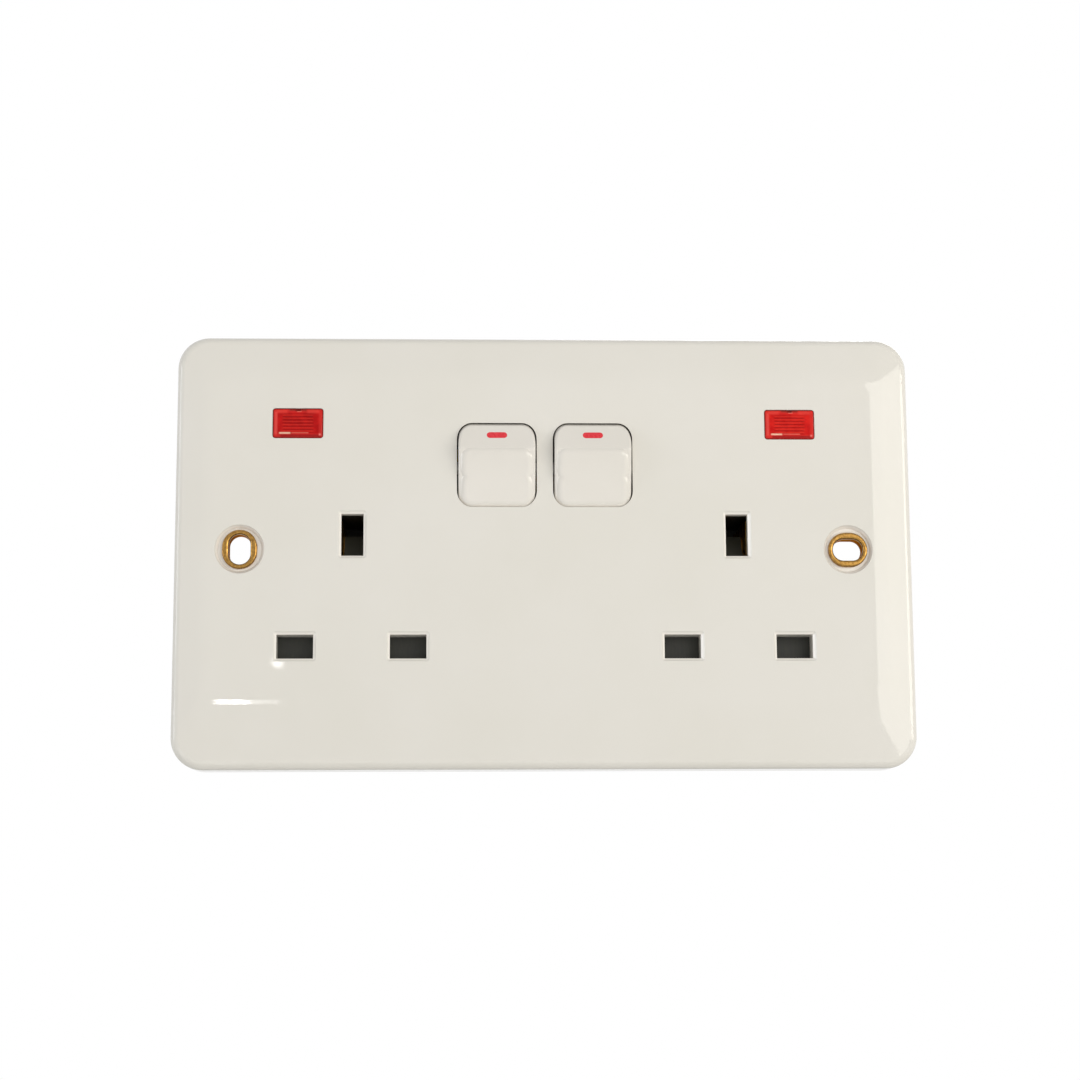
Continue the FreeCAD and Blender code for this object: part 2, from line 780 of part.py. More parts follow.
def terminal_screws():
    z = (block_low + block_high) / 2
    tip = wire_bore_y + wire_bore_r + 0.1
    return [slotted_screw(i * terminal_pitch, z, block_rear, tip, clamp_r, clamp_head_r, 1.6)
            for i in (-1, 0, 1)]


def cross_screw(x, z):
    seat = screw_seat_y
    body = fuse([rod(screw_r, V(x, screw_tip_y, z), V(x, seat + 0.1, z)),
                 rod(screw_head_r, V(x, seat, z), V(x, seat + screw_head_h, z))])
    top = seat + screw_head_h
    arms = [box(x - 1.5, x + 1.5, top - 1.1, top + 1, z - 0.35, z + 0.35),
            box(x - 0.35, x + 0.35, top - 1.1, top + 1, z - 1.5, z + 1.5)]
    return body.cut(arms)


def housing_screws():
    return [cross_screw(x, z) for x, z in screw_places()]


def shutter(s):
    x = s * outlet_x
    a = shutter_half_w
    slab = box(x - a, x + a, shutter_front, shutter_rear, cover_low, shutter_top)
    stem = box(x - stem_half_w, x + stem_half_w, shutter_front, shutter_rear, shutter_top, ramp_foot)
    b = leaf_gap / 2 - ramp_gap
    ramp = prism_x([(shutter_front, ramp_foot - 2), (shutter_front, ramp_foot), (ramp_rear, ramp_top),
                    (ramp_rear + 0.8, ramp_top), (ramp_rear + 0.8, ramp_foot - 2)],
                   x - b, x + b)
    y = (shutter_front + shutter_rear) / 2
    nub = rod(0.75, V(x, y, cover_low - 1.4), V(x, y, cover_low + 0.1))
    body = fuse([slab, stem, ramp, nub])
    cuts = []
    for t in (-1, 1):
        w = x + t * pin_pitch / 2
        cuts.append(box(w - 3.9, w + 3.9, shutter_front - 1, shutter_rear + 1, cover_high, window_high))
        pts = [V(x + t * (a + 0.1), shutter_front - 1, cover_low + shutter_corner),
               V(x + t * (a + 0.1), shutter_front - 1, cover_low - 0.1),
               V(x + t * (a - shutter_corner), shutter_front - 1, cover_low - 0.1)]
        cuts.append(Part.Face(Part.makePolygon(pts + [pts[0]])).extrude(V(0, 5, 0)))
    return body.cut(cuts)


def shutter_spring(s):
    y = (shutter_front + shutter_rear) / 2
    length = cover_low - shutter_spring_seat - 0.04
    start = V(s * outlet_x, y, shutter_spring_seat + 0.02)
    return spring(0, start, V(0, 0, 1), shutter_coil_r, shutter_wire_r, length, shutter_coils)


def tray(grow, y0, y1):
    # outline of the housing with a bay at each fixing lug
    w = body_half_w - grow
    low, high = body_low + grow, body_high - grow
    body = rounded_block(0, (low + high) / 2, 2 * w, high - low, body_corner_r - grow / 2, y0, y1)
    if grow == 0:
        body = body.makeFillet(rear_edge_r, [e for e in body.Edges if e.BoundBox.YMin > y1 - 0.01])
    bays = []
    for s in (-1, 1):
        x0, x1 = sorted((s * (notch_x - grow), s * (w + 5)))
        bays.append(box(x0, x1, y0 - 1, y1 + 1, -notch_z - grow, notch_z + grow))
    return body.cut(bays)


def cell(x, z, half_x, half_z, front):
    t = cell_wall
    outer = box(x - half_x - t, x + half_x + t, front, floor_y + 0.1, z - half_z - t, z + half_z + t)
    return outer.cut(box(x - half_x, x + half_x, front - 1, floor_y + 1, z - half_z, z + half_z))


def earth_cell(s):
    # black walls round the earth slot, open below where the shutter's stem slides
    t = cell_wall
    x = s * outlet_x
    a = earth_base_half() + 2 * fit_air
    low, high = earth_z - earth_slot_h / 2 - 1.0, earth_z + earth_slot_h / 2 + 1.0
    front, back = inner_y + 0.3, floor_y + 0.1
    outer = box(x - a - t, x + a + t, front, back, low - t, high + t)
    room = box(x - a, x + a, front - 1, floor_y + 1, low, high)
    gate = stem_half_w + 2 * guide_gap
    return outer.cut([room, box(x - gate, x + gate, front - 1, ramp_rear + 1.2, low - t - 1, low + 1)])


def switch_room():
    w = rocker_x + well_half_w + room_wall
    low, high = pivot_z - room_down - 1.5, pivot_z + room_up + 1.5
    outer = box(-w, w, well_end + 0.3, floor_y + 0.1, low, high)
    rooms = []
    for s in (-1, 1):
        x0, x1 = sorted((s * 1.4, s * (w - room_wall)))
        rooms.append(box(x0, x1, -5, floor_y + 1, pivot_z - room_down, pivot_z + room_up))
    walls = outer.cut(rooms)
    fingers = []
    for x in (-w + room_wall / 2, w - room_wall / 2):
        fingers.append(box(x - 0.65, x + 0.65, pivot_y + trunnion_r + 0.3, 0, pivot_z - 1.0, pivot_z + 1.0))
    return [walls] + fingers


def strip_slots():
    # slots in the walls, open to the front so each brass part drops in
    f = fit_air
    back = live_y + metal
    out = []
    for s in (-1, 1):
        for x0, x1, z0, z1 in strip_path(s, f):
            out.append(box(x0, x1, 2.0, back, z0, z1))
        x = s * outlet_x - pin_pitch / 2
        a, b = line_leaf_w / 2 + f, strip_w / 2 + f
        out.append(box(x - a, x + a, 4, neutral_y, line_z, neutral_bar_top + f))
    out.append(box(-2, 2, live_y - f, back, pivot_z - b, pivot_z + b))
    top = earth_bar_low + earth_bar_h + f
    out.append(box(-outlet_x, outlet_x, earth_y - 2 * metal, floor_y, earth_bar_low - f, top))
    return out


def shelves():
    # ledges that carry the neon lamps and their resistors
    out = []
    for s in (-1, 1):
        x0, x1 = sorted((s * (lens_x - shelf_side), s * (body_half_w - 1)))
        out.append(box(x0, x1, 0.1, 1.5, lens_z - shelf_below_lens, body_high - 1))
        for t in (-2.4, 2.4):
            x = s * lens_x + t
            out.append(box(x - 0.5, x + 0.5, inner_y + lens_flange_t + 2.9, 0.3, lens_z - 2.6, lens_z + 2.6))
    return out


def rear_housing():
    shell = tray(0, inner_y, body_rear).cut(tray(body_wall, inner_y - 1, floor_y))
    parts = [shell] + switch_room() + shelves()
    for x, z in line_slots():
        parts.append(cell(x, z, 4.4, 4.3, cell_front))
    for s in (-1, 1):
        parts.append(earth_cell(s))
    for x in (-outlet_x, -outlet_x / 2, outlet_x / 2):
        low = neutral_bar_top - neutral_bar_h
        parts.append(box(x - 0.6, x + 0.6, neutral_y + metal, floor_y + 0.1, low - 1, neutral_bar_top + 1))
    reach = terminal_pitch + block_w / 2 + 2.2
    parts.append(box(-reach, reach, 4.0, tower_rear, body_low, block_high + 2.2))
    for x, z in screw_places():
        parts.append(rod(column_r, V(x, -3.2, z), V(x, body_rear, z)))
    y = (shutter_front + shutter_rear) / 2
    for s in (-1, 1):
        x = s * outlet_x
        parts.append(rod(0.75, V(x, y, shutter_spring_seat - 0.1), V(x, y, shutter_spring_seat + 1.4)))
    body = fuse(parts)
    cuts = strip_slots()
    z = (block_low + block_high) / 2
    for i in (-1, 0, 1):
        x = i * terminal_pitch
        a = block_w / 2 + fit_air
        cuts.append(box(x - a, x + a, 3, block_rear, block_low - fit_air, block_high + fit_air))
        cuts.append(box(x - 2 - fit_air, x + 2 + fit_air, 3, live_y + metal, block_high - 1, block_high + 4))
        cuts.append(rod(clamp_head_r + 0.4, V(x, block_rear - 1, z), V(x, tower_rear + 1, z)))
        cuts.append(rod(wire_entry_r, V(x, wire_bore_y, body_low - 1), V(x, wire_bore_y, block_low + 1)))
    for i in (-1, 0, 1):
        x = i * terminal_pitch
        cuts.append(box(x - 2.2, x + 2.2, live_y - 0.5, live_y + metal, block_high, 9.0))
    cuts += [lamp_room(s) for s in (-1, 1)]
    for x, z in screw_places():
        cuts.append(rod(screw_r + 0.2, V(x, -4, z), V(x, body_rear, z)))
        cuts.append(rod(column_r - 0.1, V(x, inner_y - 1, z), V(x, -3.2, z)))
        cuts.append(rod(screw_head_r + 0.3, V(x, screw_seat_y, z), V(x, body_rear + 1, z)))
    return body.cut(cuts).removeSplitter()


def lamp_room(s):
    x = s * lens_x
    y = inner_y + lens_flange_t + 2.9
    return rod(2.3, V(x - 5, y, lens_z), V(x + 5, y, lens_z))


def save(name, solids):
    shape = solids[0] if len(solids) == 1 else Part.makeCompound(solids)
    print(name, round(shape.Volume, 1), shape.isValid(), len(shape.Solids), len(shape.Faces))
    shape.exportStep("parts/%s.step" % name)


def main():
    os.makedirs("parts", exist_ok=True)
    save("face_plate", [face_plate()])
    save("rear_housing", [rear_housing()])
    for s, side in ((-1, "left"), (1, "right")):
        save("eyelet_" + side, [eyelet(s, s < 0)])
        save("neon_lens_" + side, [neon_lens(s)])
        save("neon_bulb_" + side, [neon_bulb(s)])
        save("neon_resistor_" + side, [neon_resistor(s)])
        save("rocker_" + side, [rocker(s)])
        save("on_flag_" + side, [flag_shape(s, 0.0, 0.0)])
        save("plunger_" + side, [plunger(s)])
        save("plunger_spring_" + side, [plunger_spring(s)])
        save("rocking_contact_" + side, [rocking_contact(s)])
        save("live_contact_" + side, [live_contact(s)])
        save("neutral_contact_" + side, [neutral_contact(s)])
        save("earth_contact_" + side, [earth_contact(s)])
        save("shutter_" + side, [shutter(s)])
        save("shutter_spring_" + side, [shutter_spring(s)])
    save("live_bar", [live_bar()])
    save("neutral_bar", [neutral_bar()])
    save("earth_bar", [earth_bar()])
    for i, name in ((-1, "neutral"), (0, "earth"), (1, "live")):
        save(name + "_terminal", [terminal_block(i)])
    save("terminal_screws", terminal_screws())
    save("housing_screws", housing_screws())


main()
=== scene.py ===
"""Looks for a twin switched socket outlet: finishes, studio and camera."""

import bpy
import numpy as np
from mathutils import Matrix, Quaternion, Vector

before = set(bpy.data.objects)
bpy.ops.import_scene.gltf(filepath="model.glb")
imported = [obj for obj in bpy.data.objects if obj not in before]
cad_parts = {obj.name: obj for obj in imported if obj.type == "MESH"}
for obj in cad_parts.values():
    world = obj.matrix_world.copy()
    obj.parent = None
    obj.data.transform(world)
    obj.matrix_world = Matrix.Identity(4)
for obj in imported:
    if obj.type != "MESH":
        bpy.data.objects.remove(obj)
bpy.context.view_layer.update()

MM = 0.001

# Places of the face's features, in millimetres, as the part's source has them.
FACE = -8.5
LENS_X, LENS_Z = 49.1, 25.35
LENS_W, LENS_H = 10.0, 6.0
RIB_ROOM_W, RIB_ROOM_H, RIB_PITCH = 6.0, 3.9, 0.65
RAMP_X, RAMP_Z, RAMP_W, RAMP_H = 38.15, 2.0, 7.0, 12.0
FLAT_Z, FLAT_W, FLAT_H = 2.5, 133.0, 64.0


def linear(colour):
    """An sRGB hex value as linear red, green, blue and a full alpha."""
    part = np.array([int(colour[i : i + 2], 16) for i in (1, 3, 5)]) / 255
    curve = np.where(part <= 0.04045, part / 12.92, ((part + 0.055) / 1.055) ** 2.4)
    return (*curve.tolist(), 1.0)


def per_mm(size):
    """The scale that makes a noise pattern repeat about every size millimetres."""
    return 1 / (size * MM)


def add(tree, kind, inputs=None, out=0, **settings):
    """Adds one node with its settings and gives one of its outputs.

    An input is given a value, or joined if it is an output of another node.
    """
    made = tree.nodes.new(kind)
    for name, value in settings.items():
        setattr(made, name, value)
    for name, value in (inputs or {}).items():
        if isinstance(value, bpy.types.NodeSocket):
            tree.links.new(value, made.inputs[name])
        else:
            made.inputs[name].default_value = value
    return made.outputs[out] if len(made.outputs) else None


def fresh(name):
    """An empty material, as (material, node tree, its object coordinates)."""
    material = bpy.data.materials.new(name)
    material.use_nodes = True
    tree = material.node_tree
    tree.nodes.clear()
    return material, tree, add(tree, "ShaderNodeTexCoord", out="Object")


def finish(material, tree, shader):
    """Joins a shader to the material's surface and gives the material."""
    add(tree, "ShaderNodeOutputMaterial", {"Surface": shader})
    return material


def patch(tree, across, up, x, z, wide, high, soft):
    """1 inside a level rectangle on the face and 0 outside it, with a soft edge.

    Its centre is x, z from where across and up start, and all sizes are in millimetres.
    """
    share = None
    for way, centre, size in ((across, x, wide), (up, z, high)):
        off = add(tree, "ShaderNodeMath", {0: way, 1: centre * MM}, operation="SUBTRACT")
        far = add(tree, "ShaderNodeMath", {0: off}, operation="ABSOLUTE")
        edge = size / 2
        span = {"From Min": (edge - soft) * MM, "From Max": (edge + soft) * MM}
        inside = add(
            tree,
            "ShaderNodeMapRange",
            {"Value": far, "To Min": 1.0, "To Max": 0.0, **span},
            interpolation_type="SMOOTHSTEP",
        )
        if share is None:
            share = inside
        else:
            share = add(tree, "ShaderNodeMath", {0: share, 1: inside}, operation="MULTIPLY")
    return share


def moulded_urea(name, body, tint, gloss, ripple):
    """Urea-formaldehyde, compression moulded against polished steel.

    The eye gets a hard glossy cream with a very faint cloudiness and the soft ripple of the tool.
    """
    material, tree, place = fresh(name)
    across = add(tree, "ShaderNodeSeparateXYZ", {"Vector": place}, out="X")
    depth = add(tree, "ShaderNodeSeparateXYZ", {"Vector": place}, out="Y")
    up = add(tree, "ShaderNodeSeparateXYZ", {"Vector": place}, out="Z")
    cloud = add(
        tree, "ShaderNodeTexNoise", {"Vector": place, "Scale": per_mm(22.0), "Detail": 3.0}
    )
    drift = add(
        tree, "ShaderNodeMapRange", {"Value": cloud, "From Min": 0.35, "From Max": 0.65}
    )
    colour = add(
        tree,
        "ShaderNodeMix",
        {0: drift, 6: linear(body), 7: linear(tint)},
        out=2,
        data_type="RGBA",
    )
    # Painted light: walls cut into the flat middle are drawn paler than these lamps light them.
    sunk = add(
        tree,
        "ShaderNodeMapRange",
        {"Value": depth, "From Min": (FACE + 0.05) * MM, "From Max": (FACE + 0.5) * MM},
        interpolation_type="SMOOTHSTEP",
    )
    thin = add(
        tree,
        "ShaderNodeMapRange",
        {
            "Value": depth,
            "From Min": (FACE + 1.6) * MM,
            "From Max": (FACE + 2.2) * MM,
            "To Min": 1.0,
            "To Max": 0.0,
        },
        interpolation_type="SMOOTHSTEP",
    )
    near = add(tree, "ShaderNodeMath", {0: sunk, 1: thin}, operation="MULTIPLY")
    flat = patch(tree, across, up, 0.0, FLAT_Z, FLAT_W, FLAT_H, 0.5)
    painted_light_walls = add(tree, "ShaderNodeMath", {0: near, 1: flat}, operation="MULTIPLY")
    colour = add(
        tree, "ShaderNodeMix", {0: painted_light_walls, 6: colour, 7: linear("#F1EDE6")}, out=2, data_type="RGBA"
    )
    breath = add(
        tree,
        "ShaderNodeTexNoise",
        {"Vector": place, "Scale": per_mm(5.0), "Detail": 4.0, "Roughness": 0.6},
    )
    haze = add(
        tree,
        "ShaderNodeMapRange",
        {
            "Value": breath,
            "From Min": 0.3,
            "From Max": 0.7,
            "To Min": gloss * 0.7,
            "To Max": gloss * 1.5,
        },
    )
    # Polishing leaves the steel a little wavy over a centimetre or so.
    swell = add(
        tree, "ShaderNodeTexNoise", {"Vector": place, "Scale": per_mm(14.0), "Detail": 1.0}
    )
    wave = add(
        tree,
        "ShaderNodeBump",
        {"Height": swell, "Distance": 0.02 * ripple * MM, "Strength": 0.25},
    )
    # The real skin's pits are a few hundredths of a millimetre wide; they are drawn at 1.6 mm.
    pits = add(
        tree, "ShaderNodeTexNoise", {"Vector": place, "Scale": per_mm(1.6), "Detail": 2.0}
    )
    skin = add(
        tree,
        "ShaderNodeBump",
        {"Height": pits, "Distance": 0.004 * ripple * MM, "Strength": 0.35, "Normal": wave},
    )
    shader = add(
        tree,
        "ShaderNodeBsdfPrincipled",
        {
            "Base Color": colour,
            "Roughness": haze,
            "Normal": skin,
            "IOR": 1.5,
        },
    )
    return finish(material, tree, shader)


def filled_nylon():
    """Dark grey glass-filled nylon, injection moulded: dull, with the fibres' short swirl."""
    material, tree, place = fresh("housing_nylon_grey")
    swirl = add(
        tree,
        "ShaderNodeTexNoise",
        {
            "Vector": place,
            "Scale": per_mm(3.2),
            "Detail": 5.0,
            "Roughness": 0.7,
            "Distortion": 0.6,
        },
    )
    drift = add(
        tree, "ShaderNodeMapRange", {"Value": swirl, "From Min": 0.3, "From Max": 0.7}
    )
    colour = add(
        tree,
        "ShaderNodeMix",
        {0: drift, 6: linear("#3A3A36"), 7: linear("#464540")},
        out=2,
        data_type="RGBA",
    )
    # Fibres are a hundredth of a millimetre thick; they are drawn as half-millimetre flecks.
    flecks = add(
        tree,
        "ShaderNodeTexNoise",
        {"Vector": place, "Scale": per_mm(0.5), "Detail": 4.0, "Roughness": 0.65},
    )
    dull = add(
        tree,
        "ShaderNodeMapRange",
        {"Value": flecks, "From Min": 0.3, "From Max": 0.7, "To Min": 0.42, "To Max": 0.6},
    )
    grain = add(
        tree, "ShaderNodeBump", {"Height": flecks, "Distance": 0.012 * MM, "Strength": 0.5}
    )
    shader = add(
        tree,
        "ShaderNodeBsdfPrincipled",
        {"Base Color": colour, "Roughness": dull, "Normal": grain, "IOR": 1.53},
    )
    return finish(material, tree, shader)


def shutter_acetal():
    """Dark grey acetal, injection moulded: waxy, with drag lines where pins have slid over it."""
    material, tree, place = fresh("shutter_acetal_grey")
    drag = add(tree, "ShaderNodeMapping", {"Vector": place, "Scale": (1.0, 1.0, 0.12)})
    # Pins leave scratches finer than a tenth of a millimetre; they are drawn at 0.35 mm.
    lines = add(
        tree,
        "ShaderNodeTexNoise",
        {"Vector": drag, "Scale": per_mm(0.35), "Detail": 3.0, "Roughness": 0.6},
    )
    drift = add(
        tree, "ShaderNodeMapRange", {"Value": lines, "From Min": 0.3, "From Max": 0.7}
    )
    colour = add(
        tree,
        "ShaderNodeMix",
        {0: drift, 6: linear("#262722"), 7: linear("#2F2F29")},
        out=2,
        data_type="RGBA",
    )
    # Painted sheen: the ramp in each earth slot, which lies in the slot's shade, is drawn paler.
    across = add(tree, "ShaderNodeSeparateXYZ", {"Vector": place}, out="X")
    span = add(tree, "ShaderNodeMath", {0: across}, operation="ABSOLUTE")
    up = add(tree, "ShaderNodeSeparateXYZ", {"Vector": place}, out="Z")
    ramp_sheen = patch(tree, span, up, RAMP_X, RAMP_Z, RAMP_W, RAMP_H, 0.6)
    colour = add(
        tree, "ShaderNodeMix", {0: ramp_sheen, 6: colour, 7: linear("#54554E")}, out=2, data_type="RGBA"
    )
    wax = add(
        tree,
        "ShaderNodeMapRange",
        {"Value": lines, "From Min": 0.3, "From Max": 0.7, "To Min": 0.38, "To Max": 0.5},
    )
    skin = add(
        tree, "ShaderNodeBump", {"Height": lines, "Distance": 0.006 * MM, "Strength": 0.4}
    )
    shader = add(
        tree,
        "ShaderNodeBsdfPrincipled",
        {
            "Base Color": colour,
            "Roughness": wax,
            "Normal": skin,
            "IOR": 1.48,
            "Specular IOR Level": 0.35,
        },
    )
    return finish(material, tree, shader)


def red_polycarbonate():
    """Clear red polycarbonate, injection moulded, with level prism ribs behind a polished face.

    The eye gets a rim and a deeper field crossed by fine lines, with their light and shade painted
    into the colour: a painted highlight on the rim, where light gathers in the rounded edge, and
    painted dark and bright lines where the ribs throw part of the light back and let the rest
    through. A painted highlight lies along the foot and painted shade at the notch for the
    moulding's gate.
    """
    material, tree, place = fresh("lens_polycarbonate_red")
    side = add(tree, "ShaderNodeSeparateXYZ", {"Vector": place}, out="X")
    rise = add(tree, "ShaderNodeSeparateXYZ", {"Vector": place}, out="Z")
    left_of = add(tree, "ShaderNodeMath", {0: side, 1: 0.0}, operation="LESS_THAN")
    right_of = add(tree, "ShaderNodeMath", {0: side, 1: 0.0}, operation="GREATER_THAN")
    sign = add(tree, "ShaderNodeMath", {0: right_of, 1: left_of}, operation="SUBTRACT")
    middle = add(tree, "ShaderNodeMath", {0: sign, 1: LENS_X * MM}, operation="MULTIPLY")
    across = add(tree, "ShaderNodeMath", {0: side, 1: middle}, operation="SUBTRACT")
    up = add(tree, "ShaderNodeMath", {0: rise, 1: LENS_Z * MM}, operation="SUBTRACT")
    flow = add(
        tree, "ShaderNodeTexNoise", {"Vector": place, "Scale": per_mm(1.6), "Detail": 3.0}
    )
    uneven = add(
        tree, "ShaderNodeMapRange", {"Value": flow, "From Min": 0.38, "From Max": 0.62}
    )
    clear = add(
        tree,
        "ShaderNodeMix",
        {0: uneven, 6: linear("#AC0B0C"), 7: linear("#C21513")},
        out=2,
        data_type="RGBA",
    )
    # Painted light: the right-hand window is drawn a little brighter than the left-hand one, as it
    # is lit more from the right.
    bright = add(
        tree,
        "ShaderNodeMix",
        {0: uneven, 6: linear("#C41210"), 7: linear("#D82019")},
        out=2,
        data_type="RGBA",
    )
    colour = add(
        tree, "ShaderNodeMix", {0: right_of, 6: clear, 7: bright}, out=2, data_type="RGBA"
    )
    # The rim is what lies outside the flat middle of the face; its lighter colour is a painted
    # highlight.
    inner = patch(tree, across, up, 0.0, 0.0, LENS_W - 1.7, LENS_H - 1.7, 0.25)
    rim = add(tree, "ShaderNodeMath", {0: 1.0, 1: inner}, operation="SUBTRACT")
    turns = add(
        tree, "ShaderNodeMath", {0: up, 1: 2 * np.pi / (RIB_PITCH * MM)}, operation="MULTIPLY"
    )
    swing = add(tree, "ShaderNodeMath", {0: turns}, operation="COSINE")
    trough = add(
        tree, "ShaderNodeMapRange", {"Value": swing, "From Min": 0.1, "From Max": 1.0}
    )
    crest = add(
        tree, "ShaderNodeMapRange", {"Value": swing, "From Min": -0.6, "From Max": -1.0}
    )
    room = patch(tree, across, up, 0.0, -0.1, RIB_ROOM_W, RIB_ROOM_H, 0.3)
    body = patch(tree, across, up, 0.0, 0.0, LENS_W - 0.45, LENS_H - 0.45, 0.12)
    shaded_outline = add(tree, "ShaderNodeMath", {0: 1.0, 1: body}, operation="SUBTRACT")
    shade = add(tree, "ShaderNodeMath", {0: trough, 1: room}, operation="MULTIPLY")
    rib_highlight = add(tree, "ShaderNodeMath", {0: crest, 1: room}, operation="MULTIPLY")
    # Painted light and shade, each a share, how much of it shows, and its colour, laid one over the
    # other: the lit rim, the ribs' shade and highlights, lit bands at the left and along the top,
    # shade along the foot and round the outline, shade at the gate's notch, a glint under it, and
    # highlights along the foot and at the lower right corner.
    painted_light_and_shade = (
        (rim, 0.45, "#DC3A34"),
        (shade, 0.7, "#840A09"),
        (rib_highlight, 0.6, "#D4382A"),
        (patch(tree, across, up, -4.35, 0.0, 0.5, 4.6, 0.2), 0.7, "#E4504A"),
        (patch(tree, across, up, -3.2, 2.35, 2.2, 0.6, 0.3), 0.6, "#EA443A"),
        (patch(tree, across, up, 3.0, 2.35, 2.4, 0.6, 0.3), 0.6, "#E4443A"),
        (patch(tree, across, up, 0.5, -2.55, 8.0, 0.5, 0.25), 0.8, "#8E1216"),
        (shaded_outline, 0.75, "#7C1A16"),
        (patch(tree, across, up, 0.0, 2.75, 3.4, 0.5, 0.22), 0.8, "#7E2A22"),
        (patch(tree, across, up, 0.25, 2.35, 0.9, 0.12, 0.12), 0.8, "#FF8A78"),
        (patch(tree, across, up, -2.6, -2.02, 2.2, 0.22, 0.2), 1.0, "#FFDDBE"),
        (patch(tree, across, up, 0.4, -1.98, 3.4, 0.1, 0.14), 0.8, "#FF8A76"),
        (patch(tree, across, up, 4.35, -2.3, 0.34, 0.36, 0.2), 0.8, "#FF8C82"),
    )
    for share, strength, tone in painted_light_and_shade:
        part = add(tree, "ShaderNodeMath", {0: share, 1: strength}, operation="MULTIPLY")
        colour = add(
            tree, "ShaderNodeMix", {0: part, 6: colour, 7: linear(tone)}, out=2, data_type="RGBA"
        )
    polish = add(
        tree,
        "ShaderNodeMapRange",
        {"Value": flow, "From Min": 0.3, "From Max": 0.7, "To Min": 0.05, "To Max": 0.1},
    )
    skin = add(
        tree, "ShaderNodeBump", {"Height": flow, "Distance": 0.012 * MM, "Strength": 0.3}
    )
    # The face mirrors a dark part of the room, so its shine is set below that of the bare plastic.
    shader = add(
        tree,
        "ShaderNodeBsdfPrincipled",
        {
            "Base Color": colour,
            "Roughness": polish,
            "Normal": skin,
            "IOR": 1.58,
            "Specular IOR Level": 0.06,
            "Transmission Weight": 0.04,
        },
    )
    return finish(material, tree, shader)


def red_flag():
    """Red ABS pressed into the rocker: opaque, a little softer in gloss than the urea round it."""
    material, tree, place = fresh("flag_abs_red")
    flow = add(
        tree, "ShaderNodeTexNoise", {"Vector": place, "Scale": per_mm(0.9), "Detail": 2.0}
    )
    drift = add(
        tree, "ShaderNodeMapRange", {"Value": flow, "From Min": 0.3, "From Max": 0.7}
    )
    colour = add(
        tree,
        "ShaderNodeMix",
        {0: drift, 6: linear("#D8222F"), 7: linear("#DB2C38")},
        out=2,
        data_type="RGBA",
    )
    gloss = add(
        tree,
        "ShaderNodeMapRange",
        {"Value": flow, "From Min": 0.3, "From Max": 0.7, "To Min": 0.22, "To Max": 0.32},
    )
    skin = add(
        tree, "ShaderNodeBump", {"Height": flow, "Distance": 0.006 * MM, "Strength": 0.4}
    )
    shader = add(
        tree,
        "ShaderNodeBsdfPrincipled",
        {"Base Color": colour, "Roughness": gloss, "Normal": skin, "IOR": 1.52},
    )
    return finish(material, tree, shader)


def lamp_glass():
    """Drawn soda-lime glass of a neon lamp: clear, faintly rippled along its length."""
    material, tree, place = fresh("lamp_glass_clear")
    draw = add(
        tree, "ShaderNodeTexNoise", {"Vector": place, "Scale": per_mm(1.8), "Detail": 2.0}
    )
    clean = add(
        tree,
        "ShaderNodeMapRange",
        {"Value": draw, "From Min": 0.3, "From Max": 0.7, "To Min": 0.0, "To Max": 0.05},
    )
    skin = add(
        tree, "ShaderNodeBump", {"Height": draw, "Distance": 0.02 * MM, "Strength": 0.3}
    )
    shader = add(
        tree,
        "ShaderNodeBsdfPrincipled",
        {
            "Base Color": linear("#FBF3EC"),
            "Roughness": clean,
            "Normal": skin,
            "IOR": 1.52,
            "Transmission Weight": 1.0,
        },
    )
    return finish(material, tree, shader)


def resistor_lacquer():
    """Tan lacquer dipped over a small ceramic rod: satin, slightly lumpy from the dip."""
    material, tree, place = fresh("resistor_lacquer_tan")
    lump = add(
        tree, "ShaderNodeTexNoise", {"Vector": place, "Scale": per_mm(1.3), "Detail": 3.0}
    )
    drift = add(
        tree, "ShaderNodeMapRange", {"Value": lump, "From Min": 0.3, "From Max": 0.7}
    )
    colour = add(
        tree,
        "ShaderNodeMix",
        {0: drift, 6: linear("#C9A878"), 7: linear("#D6B98C")},
        out=2,
        data_type="RGBA",
    )
    satin = add(
        tree,
        "ShaderNodeMapRange",
        {"Value": lump, "From Min": 0.3, "From Max": 0.7, "To Min": 0.3, "To Max": 0.42},
    )
    skin = add(
        tree, "ShaderNodeBump", {"Height": lump, "Distance": 0.03 * MM, "Strength": 0.4}
    )
    shader = add(
        tree,
        "ShaderNodeBsdfPrincipled",
        {"Base Color": colour, "Roughness": satin, "Normal": skin, "IOR": 1.5},
    )
    return finish(material, tree, shader)


